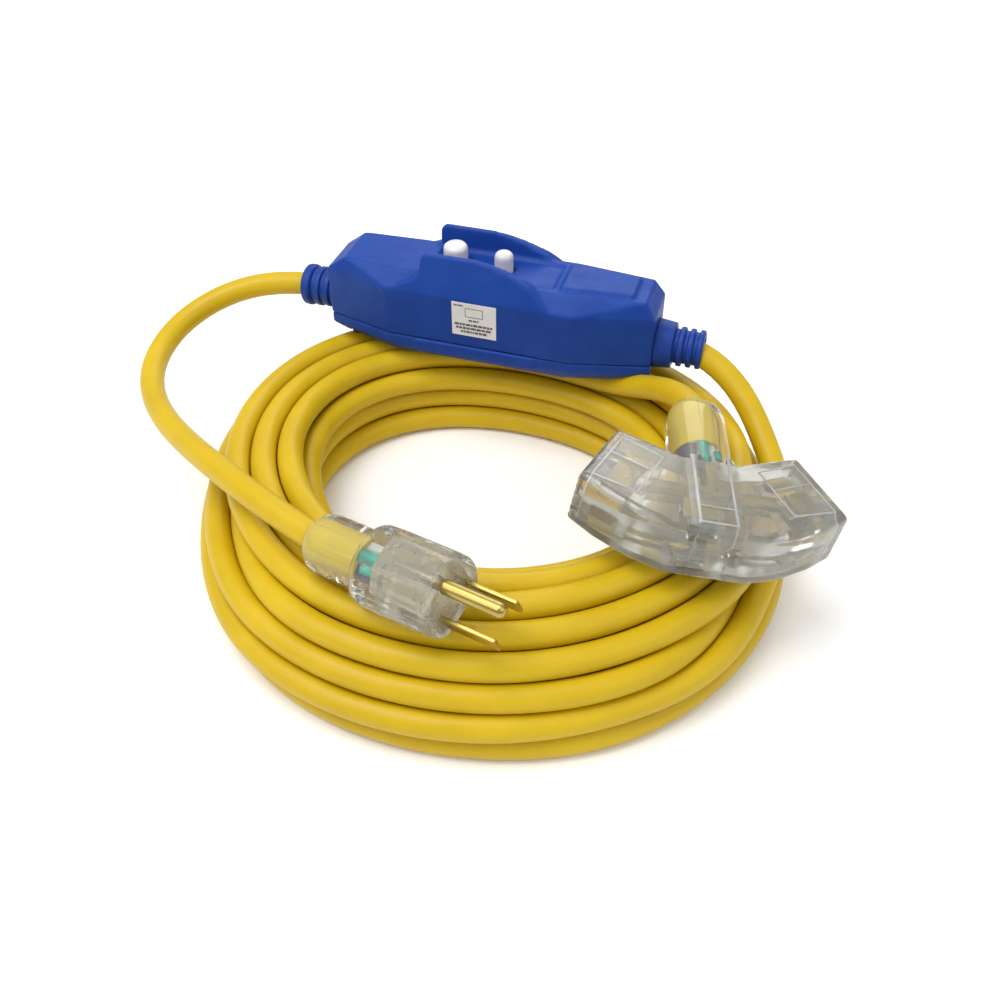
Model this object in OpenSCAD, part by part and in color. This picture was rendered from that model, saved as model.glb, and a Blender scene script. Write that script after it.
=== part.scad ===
// Coiled three-conductor extension cord with an in-line ground-fault module,
// a clear moulded plug and a clear fan-shaped triple outlet.
// Millimetres, +Z up. Origin on the floor, under the centre of the whole set.

/* [Cord] */
// Outer diameter of the round jacket
cord_d = 9.1; // [8.8:0.1:9.2]
// Height of the coil at its front
coil_front_h = 41; // [38:0.5:42]
// Height of the coil at its back, under the module
coil_back_h = 34; // [30:0.5:36]

/* [Module] */
// Width of the module at its middle
mod_w = 36; // [34:0.5:40]
// Height of the flat top above the cord axis
mod_top = 21.3; // [21:0.1:22]
// Depth of the underside below the cord axis
mod_bot = 13.1; // [12.8:0.1:14]
// Shell wall
mod_wall = 2.2; // [1.8:0.1:2.4]
// Rise of the finger guards over the flat top
guard_h = 8.2; // [7:0.1:9]
// Radius of the reset button
reset_r = 4.7; // [4:0.1:5.4]
// Radius of the test button
test_r = 3.6; // [3:0.1:4]
// Radial gap round each button
button_gap = 0.35; // [0.3:0.05:0.5]

/* [Plug] */
// Length of the plug head
head_l = 29.5; // [27:0.5:32]
// Distance between the two blades
blade_pitch = 12.7; // [12.7:0.1:12.7]
// Distance from the blades to the ground pin
ground_off = 11.9; // [11.9:0.1:11.9]
// Length of a blade outside the face
blade_l = 17.5; // [16:0.1:18]
// Radius of the ground pin
ground_r = 2.38; // [2.3:0.01:2.4]

/* [Tap] */
// Thickness of the triple outlet
tap_t = 20; // [19:0.5:22]
// Radius of the ground holes
ground_hole_r = 2.6; // [2.5:0.05:2.8]

/* [Hidden] */
$fn = 48;

// Shift that puts the middle of the whole set's footprint over the origin
OFF = [10.63, -7.4, 0];
cr = cord_d / 2;

// Places of the three fittings
mod_pos = [-0.5, 78.4, 50];
mod_yaw = -17.4;
plug_pos = [-6.2, -75.6, 51.6];
plug_yaw = -33.5;
plug_pitch = 4.5;
plug_roll = 23;
tap_pos = [70.4, -40.4, 54];
tap_yaw = -3;
tap_roll = 9.5;

module at_module() translate(OFF + mod_pos) rotate([0, 0, mod_yaw]) children();
module at_plug() translate(OFF + plug_pos) rotate([0, 0, plug_yaw]) rotate([0, -plug_pitch, 0]) rotate([plug_roll, 0, 0]) children();
module at_tap() translate(OFF + tap_pos) rotate([0, 0, tap_yaw]) rotate([0, tap_roll, 0]) children();

// A cylinder along +X
module xcyl(r, l, x = 0) translate([x, 0, 0]) rotate([0, 90, 0]) cylinder(r = r, h = l);
function mirror_y(p) = concat(p, [for (i = [len(p) - 1:-1:0]) [p[i][0], -p[i][1]]]);

// ---------- module shells ----------
hw = mod_w / 2;
split = -4.5;
side_plan = mirror_y([[-59.5, -10.5], [-32, -hw], [40, -hw], [70, -10.5]]);
top_plan = mirror_y([[-51.5, -10.8], [-26, -12.2], [36, -12.2], [66, -9]]);
low_plan = mirror_y([[-55, -7.5], [-30, -hw + 3], [38, -hw + 3], [65, -7.5]]);
cav_plan = mirror_y([[-46, -8], [-30, -14.5], [38, -14.5], [58, -8]]);
cav_top_plan = mirror_y([[-42, -7], [-28, -9.8], [34, -9.8], [56, -7]]);
screw_at = [[-49.5, 8.2], [-49.5, -8.2], [62, 8.2], [62, -8.2]];
chamfer_w = mod_top - 5.8;
roof = mod_top - 2.3;
reset_u = -10;
test_u = 9.2;
button_v = 0.8;
lens_u = 0.3;

module guard(s) scale([1, 1, 1]) mirror([0, s, 0]) intersection() {
  translate([-40, 0, 0]) rotate([90, 0, 90]) linear_extrude(80)
    polygon([[-hw, chamfer_w], [-hw + 5.3, mod_top + guard_h], [-hw + 7.4, mod_top + guard_h], [-hw + 8.2, mod_top - 1.2], [-hw + 8.2, chamfer_w - 2], [-hw, chamfer_w - 2]]);
  translate([0, 30, 0]) rotate([90, 0, 0]) linear_extrude(60)
    polygon([[-34, chamfer_w - 2], [-34, chamfer_w - 1], [-19.5, mod_top], [-19.3, mod_top + guard_h - 1.6], [-17.6, mod_top + guard_h], [2, mod_top + guard_h], [8, mod_top + guard_h - 0.9], [14, mod_top + guard_h - 2.6], [19.5, mod_top + guard_h - 4.9], [23.2, mod_top + 1.6], [25, mod_top + 0.4], [34, chamfer_w - 1], [34, chamfer_w - 2]]);
}

module cover_outer() {
  translate([0, 0, split]) linear_extrude(chamfer_w - split) polygon(side_plan);
  hull() {
    translate([0, 0, chamfer_w - 0.2]) linear_extrude(0.2) polygon(side_plan);
    translate([0, 0, mod_top - 0.2]) linear_extrude(0.2) polygon(top_plan);
  }
  guard(0);
  guard(1);
  // raised panel at the load end
  translate([0, 0, mod_top - 0.5]) linear_extrude(1.9) polygon([[34, -9.6], [61, -7.2], [61, 7.2], [34, 9.6]]);
}

module module_cover() color([0.1, 0.36, 0.75]) at_module() difference() {
  cover_outer();
  translate([0, 0, split - 1]) linear_extrude(13.5 - split + 1) polygon(cav_plan);
  translate([0, 0, 12]) linear_extrude(roof - 12) polygon(cav_top_plan);
  // saddle between the guards
  translate([-18, -9.2, mod_top - 0.9]) cube([49.5, 18.4, 5]);
  translate([reset_u, button_v, 10]) cylinder(r = reset_r + button_gap, h = 20);
  translate([test_u, button_v, 10]) cylinder(r = test_r + button_gap, h = 20);
  translate([lens_u, button_v - 3, 10]) cylinder(r = 1.25, h = 20);
  relief_spigot_cut();
  gasket_shape(0);
  for (p = screw_at) translate([p[0], p[1], split - 1]) cylinder(r = 1.25, h = 12);
}

module base_outer() {
  translate([0, 0, -8.4]) linear_extrude(split + 8.4) polygon(side_plan);
  hull() {
    translate([0, 0, -8.6]) linear_extrude(0.2) polygon(side_plan);
    translate([0, 0, -mod_bot]) linear_extrude(0.2) polygon(low_plan);
  }
  // proud skirt along the middle of both sides
  translate([-21, -hw - 0.7, -9.6]) cube([48, mod_w + 1.4, split + 9.6]);
}

module module_base() color([0.09, 0.25, 0.6]) at_module() difference() {
  base_outer();
  difference() {
    translate([0, 0, -mod_bot + mod_wall]) linear_extrude(mod_bot - mod_wall + split + 1) polygon(cav_plan);
    // board posts
    for (x = [-34, 34], y = [-9, 9]) translate([x, y, -mod_bot]) cylinder(r = 2.2, h = mod_bot - 4.6);
  }
  relief_spigot_cut();
  gasket_shape(0);
  for (p = screw_at) translate([p[0], p[1], -mod_bot - 1]) {
    cylinder(r = 1.45, h = 20);
    cylinder(r = 2.75, h = 4.35);
  }
}

// the seal lies in a shallow groove shared by both shells
module gasket_shape(g) translate([0, 0, split - 0.5 + g]) linear_extrude(1 - 2 * g) difference() {
  polygon(mirror_y([[-47.6 + g, -9.3 + g], [-30.6 + g, -15.9 + g], [38.6 - g, -15.9 + g], [59.6 - g, -9.3 + g]]));
  polygon(mirror_y([[-46.2 - g, -8.2 - g], [-30.1 - g, -14.6 - g], [38.1 + g, -14.6 - g], [58.2 + g, -8.2 - g]]));
}
module module_gasket() color([0.1, 0.1, 0.1]) at_module() gasket_shape(0.02);

// ---------- module strain reliefs ----------
module relief_spigot_cut() {
  xcyl(6, 8.1, -59.55);
  xcyl(3.6, 10.5, -52.5);
  xcyl(6, 8.1, 61.95);
  xcyl(3.6, 8, 56);
}
// profile: radius against distance from the shell face
relief_l = [[4.7, 14.9], [7.3, 14.9], [8.1, 14.2], [8.3, 11.8], [7.8, 10.9], [6.8, 10.7], [6.8, 9.2], [7.9, 9], [7.9, 6.9], [6.8, 6.7], [6.8, 5.2], [7.7, 5], [7.7, 2.9], [6.8, 2.7], [6.8, 1.4], [7.4, 0], [5.95, 0], [5.95, -6.9], [3.4, -6.9], [3.4, 5], [4.7, 5]];
relief_r = [[4.7, 18], [6.6, 18], [7.4, 17.4], [7.4, 15.9], [6.3, 15.7], [6.3, 14.3], [7.4, 14.1], [7.4, 12.3], [6.3, 12.1], [6.3, 10.7], [7.5, 10.5], [7.5, 8.7], [6.5, 8.5], [6.5, 7], [8.6, 6.8], [9.4, 0], [5.95, 0], [5.95, -6.9], [3.4, -6.9], [3.4, 6], [4.7, 6]];
module line_strain_relief() color([0.09, 0.25, 0.62]) at_module() translate([-59.5, 0, 0]) rotate([0, -90, 0]) rotate_extrude() polygon(relief_l);
module load_strain_relief() color([0.09, 0.25, 0.62]) at_module() translate([70, 0, 0]) rotate([0, 90, 0]) rotate_extrude() polygon(relief_r);

// ---------- module small parts ----------
module rating_label() color([0.9, 0.9, 0.88]) at_module() translate([-5.5, -hw - 0.25, 0.7]) cube([17.5, 0.25, 14.1]);
module status_lens() color([0.75, 0.1, 0.1]) at_module() translate([lens_u, button_v - 3, 0]) rotate_extrude() polygon([[0, roof - 0.9], [2, roof - 0.9], [2, roof - 0.05], [1.2, roof - 0.05], [1.2, mod_top - 1], [0, mod_top - 0.7]]);
module cover_screws() color([0.6, 0.6, 0.62]) at_module() for (p = screw_at) translate([p[0], p[1], -mod_bot]) rotate_extrude() polygon([[0, 1.2], [0.9, 1.2], [0.9, 0.5], [2.5, 0.5], [2.5, 3.3], [1.2, 3.3], [1.2, 17.5], [0, 18.2]]);

// a push button: domed cap, flange under the roof and guide stem
module button(r, top, flange, stem_r, stem_end) rotate_extrude() polygon([
  [0, stem_end], [stem_r, stem_end], [stem_r, roof - 2.3], [flange, roof - 2.3], [flange, roof - 0.5], [r, roof - 0.5],
  [r, top - 2.2], [r * 0.93, top - 1.1], [r * 0.76, top - 0.35], [r * 0.5, top], [0, top + 0.15]]);
module reset_button() color([0.86, 0.85, 0.84]) at_module() translate([reset_u, button_v, 0]) button(reset_r, 28.2, 6.6, 1.5, 2.2);
module test_button() color([0.86, 0.85, 0.84]) at_module() translate([test_u, button_v, 0]) button(test_r, 27.6, 5, 1.2, 3.2);

// a compression spring: one wire swept round and up
spring_lo = 9.7;
spring_hi = roof - 2.5;
function coil_pt(r, t, turns, lo, hi) = [r * cos(360 * turns * t), r * sin(360 * turns * t), lo + (hi - lo) * t];
module spring(r, wire, turns) {
  lo = spring_lo + wire;
  hi = spring_hi - wire;
  n = turns * 12;
  pts = [for (i = [0:n]) let (a = 360 * turns * i / n, c = coil_pt(r, i / n, turns, lo, hi))
    for (k = [0:5]) let (b = 60 * k) [c[0] + wire * cos(b) * cos(a), c[1] + wire * cos(b) * sin(a), c[2] + wire * sin(b)]];
  faces = concat(
    [for (i = [0:n - 1], k = [0:5]) [6 * i + k, 6 * (i + 1) + k, 6 * (i + 1) + (k + 1) % 6, 6 * i + (k + 1) % 6]],
    [[for (k = [0:5]) k]], [[for (k = [5:-1:0]) 6 * n + k]]);
  polyhedron(points = pts, faces = faces, convexity = 6);
}
module reset_spring() color([0.75, 0.75, 0.76]) at_module() translate([reset_u, button_v, 0]) spring(3.2, 0.3, 4);
module test_spring() color([0.75, 0.75, 0.76]) at_module() translate([test_u, button_v, 0]) spring(2.6, 0.25, 4);

module button_deck() color([0.85, 0.85, 0.8]) at_module() difference() {
  union() {
    translate([-23, -13, 8]) cube([37, 26, 1.6]);
    for (x = [-21.5, 12.5], y = [-11.6, 11.6]) translate([x, y, -2.95]) cylinder(r = 1.3, h = 11.5);
    // guide rods of the contact carriage
    for (y = [-6.2, 7.8]) translate([reset_u, y, -2.6]) cylinder(r = 1.0, h = 11);
  }
  translate([reset_u, button_v, 7]) cylinder(r = 1.8, h = 4);
  translate([test_u, button_v, 7]) cylinder(r = 1.5, h = 4);
}

module circuit_board() color([0.1, 0.42, 0.2]) at_module() difference() {
  translate([0, 0, -4.6]) linear_extrude(1.6) polygon(mirror_y([[-41, -8.6], [-29, -13.6], [37, -13.6], [50, -9]]));
  for (x = [-34, 34], y = [-9, 9]) translate([x, y, -6]) cylinder(r = 0.8, h = 4);
}

// the two ring cores stand on the board with the conductors through them
module ring_core(x) translate([x, 0, 5.3]) rotate([0, 90, 0]) rotate_extrude() polygon([[4.4, 0.4], [4.8, 0], [7.8, 0], [8.2, 0.4], [8.2, 4.6], [7.8, 5], [4.8, 5], [4.4, 4.6]]);
module sense_transformer() color([0.55, 0.3, 0.12]) at_module() ring_core(22);
module neutral_transformer() color([0.75, 0.45, 0.15]) at_module() ring_core(29);

module trip_solenoid() color([0.72, 0.4, 0.18]) at_module() translate([-38, 0, 2.6]) rotate([0, 90, 0]) rotate_extrude() polygon([[1.75, 0], [5.4, 0], [5.4, 1], [4.6, 1], [4.6, 11], [5.4, 11], [5.4, 12], [1.75, 12]]);
module solenoid_plunger() color([0.66, 0.67, 0.7]) at_module() translate([-34.5, 0, 2.6]) rotate([0, 90, 0]) rotate_extrude() polygon([[0, 0], [1.4, 0], [1.7 - 0.05, 0.3], [1.65, 14.7], [2.6, 15.1], [2.6, 16.7], [1.2, 17.1], [0, 17.1]]);

// the carriage carries the two moving contacts and slides down on its rods when it trips
module contact_carriage() color([0.2, 0.2, 0.22]) at_module() difference() {
  union() {
    translate([reset_u - 4.6, -9.6 + button_v, -0.2]) cube([9.2, 19.2, 2.2]);
    for (y = [-9.2, 7.2]) translate([reset_u - 3, y + button_v, -1.1]) cube([6, 2, 1]);
  }
  for (y = [-6.2, 7.8]) translate([reset_u, y, -3]) cylinder(r = 1.3, h = 6);
}
module fixed_contacts() color([0.8, 0.6, 0.25]) at_module() for (y = [-9.2, 7.2]) translate([reset_u - 3, y + button_v, -3]) cube([6, 2, 0.25]);
module surge_disc() color([0.1, 0.3, 0.6]) at_module() translate([41, -5.5, 1.6]) rotate([90, 0, 0]) cylinder(r = 4.5, h = 3);
module filter_capacitor() color([0.15, 0.15, 0.16]) at_module() translate([42, 4.6, -2.95]) cylinder(r = 3.4, h = 9);
module test_resistor() color([0.7, 0.62, 0.45]) at_module() translate([4, -4.5, -1.5]) rotate([-90, 0, 0]) cylinder(r = 1.4, h = 7);
wire_at = [[0, 1.7], [-1.5, -0.9], [1.5, -0.9]];
module module_line_wires() color([0.15, 0.15, 0.15]) at_module() for (p = wire_at) translate([-60, p[0], p[1]]) xcyl(1.25, 18);
module module_load_wires() color([0.15, 0.15, 0.15]) at_module() for (p = wire_at) translate([56, p[0], p[1]]) xcyl(1.25, 14);

// ---------- plug ----------
blade_w = -4;
module d_section(r, bot, x0, x1) intersection() {
  hull() {
    xcyl_at(r, x0, x1, -0.4);
    translate([x0, -r + 3, bot + 3]) rotate([0, 90, 0]) cylinder(r = 3, h = x1 - x0, $fn = 32);
    translate([x0, r - 3, bot + 3]) rotate([0, 90, 0]) cylinder(r = 3, h = x1 - x0, $fn = 32);
  }
  translate([x0, -20, bot]) cube([x1 - x0, 40, 40]);
}
module xcyl_at(r, x0, x1, w) translate([x0, 0, w]) rotate([0, 90, 0]) cylinder(r = r, h = x1 - x0, $fn = 64);
module plug_bridge_shape() translate([-22, 0, 0]) rotate([90, 0, 90]) linear_extrude(19) polygon([[-8.6, -8.2], [8.6, -8.2], [8.6, 5], [4.4, 10.9], [-4.4, 10.9], [-8.6, 5]]);
module blade_shape(s) translate([-14, s * blade_pitch / 2 - 0.75, blade_w - 3.175]) rotate([90, 0, 90]) linear_extrude(14 + blade_l)
  polygon([[0, 0.25], [0.25, 0], [1.25, 0], [1.5, 0.25], [1.5, 6.1], [1.25, 6.35], [0.25, 6.35], [0, 6.1]]);
module ground_shape() translate([-14, 0, blade_w + ground_off]) rotate([0, 90, 0]) rotate_extrude()
  polygon([[0, 0], [1.9, 0], [1.9, 14], [ground_r, 14], [ground_r, 14 + 18.6], [ground_r * 0.87, 14 + 19.6], [ground_r * 0.5, 14 + 20.4], [0, 14 + 20.6]]);
plug_wire_at = [[-2.4, -0.6], [2.4, -0.6], [0, 2.4]];
module plug_wire(i) translate([-33, plug_wire_at[i][0], plug_wire_at[i][1]]) xcyl(1.4, 11);
module plug_lamp_shape() translate([-28, -3.5, 4.2]) rotate([0, 90, 0]) cylinder(r = 1.1, h = 5);
module plug_body() color([0.85, 0.87, 0.85, 0.45]) at_plug() difference() {
  union() {
    d_section(12.8, -10.2, -head_l, -0.001);
    // neck
    translate([-52, 0, 0]) rotate([0, 90, 0]) rotate_extrude() polygon([[0, 0], [7.4, 0], [9.3, 2.6], [9.6, 5], [9.6, 53 - head_l], [0, 53 - head_l]]);
  }
  plug_bridge_shape();
  xcyl(cr, 21.1, -52.1);
  for (i = [0:2]) plug_wire(i);
  plug_lamp_shape();
  blade_shape(-1);
  blade_shape(1);
  ground_shape();
}
module plug_bridge() color([0.9, 0.9, 0.86]) at_plug() difference() {
  plug_bridge_shape();
  blade_shape(-1);
  blade_shape(1);
  ground_shape();
}
module plug_jacket_end() color([0.93, 0.82, 0.1]) at_plug() difference() {
  xcyl(cr, 21, -52);
  for (i = [0:2]) plug_wire(i);
}
module hot_blade() color([0.8, 0.62, 0.25]) at_plug() blade_shape(-1);
module neutral_blade() color([0.8, 0.62, 0.25]) at_plug() blade_shape(1);
module ground_pin() color([0.8, 0.62, 0.25]) at_plug() ground_shape();
module plug_ground_wire() color([0, 0.6, 0.45]) at_plug() plug_wire(2);
module plug_hot_wire() color([0.1, 0.1, 0.1]) at_plug() plug_wire(0);
module plug_neutral_wire() color([0.9, 0.9, 0.9]) at_plug() plug_wire(1);
module plug_lamp() color([0.1, 0.65, 0.5]) at_plug() plug_lamp_shape();

// ---------- triple outlet ----------
tap_plan = [[-8.6, 12.5], [-29.3, 21.3], [-41.9, -4], [-34.2, -10.7], [-24, -17.2], [-13, -21.5], [13, -21.5], [24, -17.2], [34.2, -10.7], [41.9, -4], [29.3, 21.3], [8.6, 12.5]];
frame_plan = [[-7, 12], [-27.6, 17.2], [-37.4, -2.6], [-31.5, -7.8], [-22.8, -13.4], [-12.2, -17.6], [12.2, -17.6], [22.8, -13.4], [31.5, -7.8], [37.4, -2.6], [27.6, 17.2], [7, 12]];
side_a = 26.5;
side_c = [35.6, 8.65];
// children() placed on an outlet face: +X points out of the face, the origin is the face's middle
module at_outlet(i) {
  if (i == 0) translate([0, -21.5, 0]) rotate([0, 0, -90]) children();
  if (i == 1) translate([side_c[0], side_c[1], 0]) rotate([0, 0, side_a]) children();
  if (i == 2) mirror([1, 0, 0]) translate([side_c[0], side_c[1], 0]) rotate([0, 0, side_a]) children();
}
slot_y = -5;
module outlet_holes() {
  for (s = [-1, 1]) translate([-19, slot_y - 4.2, s * blade_pitch / 2 - 1]) cube([20, 8.4, 2]);
  translate([-19, slot_y + ground_off, 0]) rotate([0, 90, 0]) cylinder(r = ground_hole_r, h = 20);
}
module contact_box(s) translate([-15, slot_y - 5, s * blade_pitch / 2 - 1.5]) difference() {
  cube([8, 10, 3]);
  translate([-1, 0.8, 0.5]) cube([10, 8.4, 2]);
}
module contact_pocket(s) translate([-15, slot_y - 5, s * blade_pitch / 2 - 1.5]) cube([8, 10, 3]);
module ground_sleeve(solid) translate([-15, slot_y + ground_off, 0]) rotate([0, 90, 0]) difference() {
  cylinder(r = ground_hole_r + 0.6, h = 8);
  if (!solid) translate([0, 0, -1]) cylinder(r = ground_hole_r, h = 10);
}
// flat strips that join the contacts
module bus_strip(z) {
  translate([-24, -3, z]) cube([48, 3.4, 0.6]);
  translate([-1.7, -3, z]) cube([3.4, 15, 0.6]);
}
tap_wire_at = [[-2.6, 0], [2.6, 0], [0, 2.6]];
module tap_wire(i) translate([tap_wire_at[i][0], 12, tap_wire_at[i][1]]) rotate([-90, 0, 0]) cylinder(r = 1.4, h = 15);
module tap_lamp_shape() translate([3.6, 15.5, 4.6]) rotate([-90, 0, 0]) cylinder(r = 1.1, h = 5);
module tap_fan() translate([0, 0, -tap_t / 2]) linear_extrude(tap_t) polygon(tap_plan);
module tap_body() color([0.82, 0.85, 0.84, 0.45]) at_tap() difference() {
  tap_fan();
  translate([0, 0, -8]) linear_extrude(16) polygon(frame_plan);
  for (i = [0:2]) at_outlet(i) outlet_holes();
  for (i = [0:2]) tap_wire(i);
}
// collar round the cord, moulded against the back of the fan
module tap_collar() color([0.82, 0.85, 0.84, 0.45]) at_tap() difference() {
  intersection() {
    translate([0, 0, -8.6]) linear_extrude(17.2) polygon([[-9, 12.5], [-10, 30], [-9.6, 44], [-6.4, 48.7], [6.4, 48.7], [9.6, 44], [10, 30], [9, 12.5]]);
    translate([0, 5, 0]) rotate([-90, 0, 0]) cylinder(r = 10.6, h = 50, $fn = 64);
  }
  tap_fan();
  translate([0, 48.8, 0]) rotate([90, 0, 0]) cylinder(r = cr, h = 22.8);
  for (i = [0:2]) tap_wire(i);
  tap_lamp_shape();
}
module tap_frame() color([0.88, 0.88, 0.84]) at_tap() difference() {
  translate([0, 0, -8]) linear_extrude(16) polygon(frame_plan);
  for (i = [0:2]) at_outlet(i) {
    outlet_holes();
    contact_pocket(1);
    contact_pocket(-1);
    ground_sleeve(true);
  }
  bus_strip(blade_pitch / 2 - 0.3);
  bus_strip(-blade_pitch / 2 - 0.3);
  bus_strip(-0.3);
}
module tap_bus(s) difference() {
  union() {
    for (i = [0:2]) at_outlet(i) contact_box(s);
    bus_strip(s * blade_pitch / 2 - 0.3);
  }
  for (i = [0:2]) at_outlet(i) translate([-19, slot_y - 4.2, s * blade_pitch / 2 - 1]) cube([20, 8.4, 2]);
}
module tap_hot_bus() color([0.8, 0.62, 0.25]) at_tap() tap_bus(1);
module tap_neutral_bus() color([0.8, 0.62, 0.25]) at_tap() tap_bus(-1);
module tap_ground_bus() color([0.8, 0.62, 0.25]) at_tap() difference() {
  union() {
    for (i = [0:2]) at_outlet(i) ground_sleeve(true);
    bus_strip(-0.3);
  }
  for (i = [0:2]) at_outlet(i) outlet_holes();
}
module tap_jacket_end() color([0.93, 0.82, 0.1]) at_tap() difference() {
  translate([0, 48.7, 0]) rotate([90, 0, 0]) cylinder(r = cr, h = 22.7);
  for (i = [0:2]) tap_wire(i);
}
module tap_ground_wire() color([0, 0.6, 0.45]) at_tap() tap_wire(2);
module tap_hot_wire() color([0.1, 0.1, 0.1]) at_tap() tap_wire(0);
module tap_neutral_wire() color([0.9, 0.9, 0.9]) at_tap() tap_wire(1);
module tap_lamp() color([0.1, 0.65, 0.5]) at_tap() tap_lamp_shape();

// ---------- cord ----------
// Frames of a swept tube: each ring is square to the route
function unit(v) = v / norm(v);
function tangent(p, i) = unit(i == 0 ? p[1] - p[0] : i == len(p) - 1 ? p[i] - p[i - 1] : unit(p[i + 1] - p[i]) + unit(p[i] - p[i - 1]));
module tube(p, r, n = 10) {
  m = len(p);
  pts = [for (i = [0:m - 1]) let (t = tangent(p, i), a = unit(cross([0, 0, 1], t)), b = cross(t, a)) for (k = [0:n - 1]) p[i] + r * (a * cos(360 * k / n) + b * sin(360 * k / n))];
  faces = concat(
    [for (i = [0:m - 2], k = [0:n - 1]) [n * i + k, n * (i + 1) + k, n * (i + 1) + (k + 1) % n, n * i + (k + 1) % n]],
    [[for (k = [0:n - 1]) k]], [[for (k = [n - 1:-1:0]) n * (m - 1) + k]]);
  translate(OFF) polyhedron(points = pts, faces = faces, convexity = 4);
}
// smooth route: a cubic through the hand-set points
function cat(p, i, t) = let (a = p[max(i - 1, 0)], b = p[i], c = p[i + 1], d = p[min(i + 2, len(p) - 1)])
  0.5 * (2 * b + (c - a) * t + (2 * a - 5 * b + 4 * c - d) * t * t + (3 * b - a - 3 * c + d) * t * t * t);
function route(p, k) = concat([for (i = [0:len(p) - 2], j = [0:k - 1]) cat(p, i, j / k)], [p[len(p) - 1]]);

line_pts = [[-66, 99, 50], [-76, 102, 50], [-87.5, 103.4, 49.5], [-97.7, 102.6, 48], [-106.8, 99.6, 45.5], [-116.3, 94.4, 42.5], [-123.6, 87.8, 39.5], [-128.2, 76.9, 37], [-129.8, 65.2, 35.5], [-128.2, 52.2, 35], [-122, 37.7, 35.5], [-114, 23.8, 37.5], [-105, 10.9, 40.5], [-95, -2.5, 44], [-83.2, -16.3, 47], [-70, -30.6, 48.5], [-58, -40, 48], [-50, -46, 47]];
load_pts = [[76, 54.4, 50], [83, 52, 50], [91, 48, 49], [98, 42, 45], [103, 34, 38], [106, 24, 30], [107, 12, 22.5], [106, 0, 17.5], [103.5, -11, 14.5]];
tap_pts = [[73, 7, 54], [74, 16, 53], [73, 27, 50], [70, 38, 44], [65, 48, 37], [58, 56, 30]];
module line_cord() color([0.93, 0.82, 0.1]) tube(line_pts, cr);
module load_cord_lead() color([0.93, 0.82, 0.1]) tube(load_pts, cr);
module tap_lead() color([0.93, 0.82, 0.1]) tube(tap_pts, cr);

// The coil: an oval ring of wound turns, wider and higher at its front
coil_n = 40;
function outer_r(a) = cr + 101.8 + 1.8 * cos(a) + 7.4 * sin(a) + 0.5 * cos(2 * a) - 3.6 * sin(2 * a) + 2.4 * cos(3 * a) + 0.7 * sin(3 * a) - 1.5 * cos(4 * a) + 1.1 * sin(4 * a);
function inner_r(a) = 58.7 - 1.7 * cos(a) + 10.6 * sin(a) + 2.3 * cos(2 * a) - 1.6 * sin(2 * a) + 1.3 * cos(3 * a) + 1.6 * sin(3 * a);
function coil_h(a) = (coil_front_h + coil_back_h) / 2 - (coil_front_h - coil_back_h) / 2 * sin(a);
section = [[0.1, 0], [0.93, 0], [1, 0.12], [1, 0.42], [0.9, 0.68], [0.7, 0.92], [0.5, 1], [0.2, 0.95], [0, 0.7], [0, 0.12]];
module cord_coil() color([0.9, 0.78, 0.08]) difference() {
  m = len(section);
  pts = [for (i = [0:coil_n - 1]) let (a = 360 * i / coil_n, ro = outer_r(a), ri = inner_r(a), h = coil_h(a)) for (q = section) [(ri + (ro - ri) * q[0]) * cos(a), (ri + (ro - ri) * q[0]) * sin(a), h * q[1]]];
  faces = [for (i = [0:coil_n - 1], k = [0:m - 1]) [m * i + k, m * i + (k + 1) % m, m * ((i + 1) % coil_n) + (k + 1) % m, m * ((i + 1) % coil_n) + k]];
  translate(OFF) polyhedron(points = pts, faces = faces, convexity = 6);
  // seat that the plug presses into the top of the turns
  at_plug() translate([-53, -13.1, -12.5]) cube([53.5, 26.2, 30]);
}

module_base();
module_cover();
module_gasket();
line_strain_relief();
load_strain_relief();
rating_label();
reset_button();
test_button();
reset_spring();
test_spring();
status_lens();
button_deck();
circuit_board();
sense_transformer();
neutral_transformer();
trip_solenoid();
solenoid_plunger();
contact_carriage();
fixed_contacts();
surge_disc();
filter_capacitor();
test_resistor();
module_line_wires();
module_load_wires();
cover_screws();
plug_body();
plug_bridge();
plug_jacket_end();
hot_blade();
neutral_blade();
ground_pin();
plug_ground_wire();
plug_hot_wire();
plug_neutral_wire();
plug_lamp();
tap_body();
tap_collar();
tap_frame();
tap_jacket_end();
tap_hot_bus();
tap_neutral_bus();
tap_ground_bus();
tap_ground_wire();
tap_hot_wire();
tap_neutral_wire();
tap_lamp();
line_cord();
load_cord_lead();
cord_coil();
tap_lead();
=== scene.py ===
import math

import bmesh
import bpy
import numpy as np
from mathutils import Matrix, Vector

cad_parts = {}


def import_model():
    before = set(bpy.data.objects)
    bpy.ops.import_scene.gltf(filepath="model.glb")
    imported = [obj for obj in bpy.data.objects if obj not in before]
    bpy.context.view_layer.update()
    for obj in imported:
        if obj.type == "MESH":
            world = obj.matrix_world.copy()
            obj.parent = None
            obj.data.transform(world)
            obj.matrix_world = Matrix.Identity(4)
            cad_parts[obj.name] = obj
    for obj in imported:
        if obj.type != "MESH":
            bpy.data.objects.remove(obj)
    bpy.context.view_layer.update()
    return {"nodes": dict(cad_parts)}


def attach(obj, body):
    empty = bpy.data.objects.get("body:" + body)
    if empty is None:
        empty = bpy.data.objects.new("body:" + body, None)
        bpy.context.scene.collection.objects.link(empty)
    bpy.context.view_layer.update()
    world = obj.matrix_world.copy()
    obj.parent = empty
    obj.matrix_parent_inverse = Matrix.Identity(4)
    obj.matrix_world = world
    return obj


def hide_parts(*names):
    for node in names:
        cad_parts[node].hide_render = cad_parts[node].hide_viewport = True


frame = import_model()
scene = bpy.context.scene
NODES = frame["nodes"]
MM = 0.001
OFF = np.array([10.63, -7.4, 0.0])
D = 9.1  # jacket diameter, mm


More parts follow.
